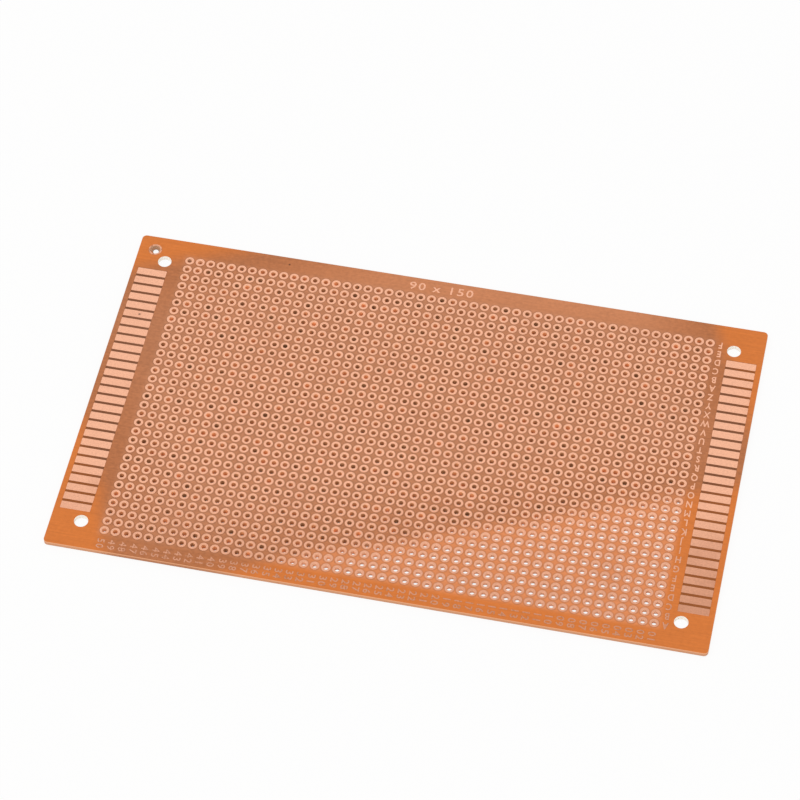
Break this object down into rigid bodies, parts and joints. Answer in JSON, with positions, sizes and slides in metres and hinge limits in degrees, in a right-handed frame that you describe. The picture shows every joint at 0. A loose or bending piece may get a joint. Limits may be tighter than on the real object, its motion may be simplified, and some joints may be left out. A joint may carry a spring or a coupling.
{
  "type": "prototype board",
  "caption": "Flat single-sided prototype board: a drilled laminate sheet with a grid of round copper solder pads, edge contact fingers and corner mounting holes.",
  "frame": {"origin": "centre of the board's bare underside", "axes": "+X along the long sides, towards the row letters; +Y along the short sides, towards the size marking; +Z out of the copper side"},
  "size_m": [0.15, 0.09, 0.0012],
  "materials": {
    "laminate": "satin",
    "copper_foil": "satin"
  },
  "bodies": {
    "root": {"laminate": "laminate", "pad_row_01": "copper_foil", "pad_row_02": "copper_foil", "pad_row_03": "copper_foil", "pad_row_04": "copper_foil", "pad_row_05": "copper_foil", "pad_row_06": "copper_foil", "pad_row_07": "copper_foil", "pad_row_08": "copper_foil", "pad_row_09": "copper_foil", "pad_row_10": "copper_foil", "pad_row_11": "copper_foil", "pad_row_12": "copper_foil", "pad_row_13": "copper_foil", "pad_row_14": "copper_foil", "pad_row_15": "copper_foil", "pad_row_16": "copper_foil", "pad_row_17": "copper_foil", "pad_row_18": "copper_foil", "pad_row_19": "copper_foil", "pad_row_20": "copper_foil", "pad_row_21": "copper_foil", "pad_row_22": "copper_foil", "pad_row_23": "copper_foil", "pad_row_24": "copper_foil", "pad_row_25": "copper_foil", "pad_row_26": "copper_foil", "pad_row_27": "copper_foil", "pad_row_28": "copper_foil", "pad_row_29": "copper_foil", "pad_row_30": "copper_foil", "pad_row_31": "copper_foil", "pad_row_32": "copper_foil", "fingers_left": "copper_foil", "fingers_right": "copper_foil", "tooling_ring": "copper_foil"}
  },
  "joints": []
}
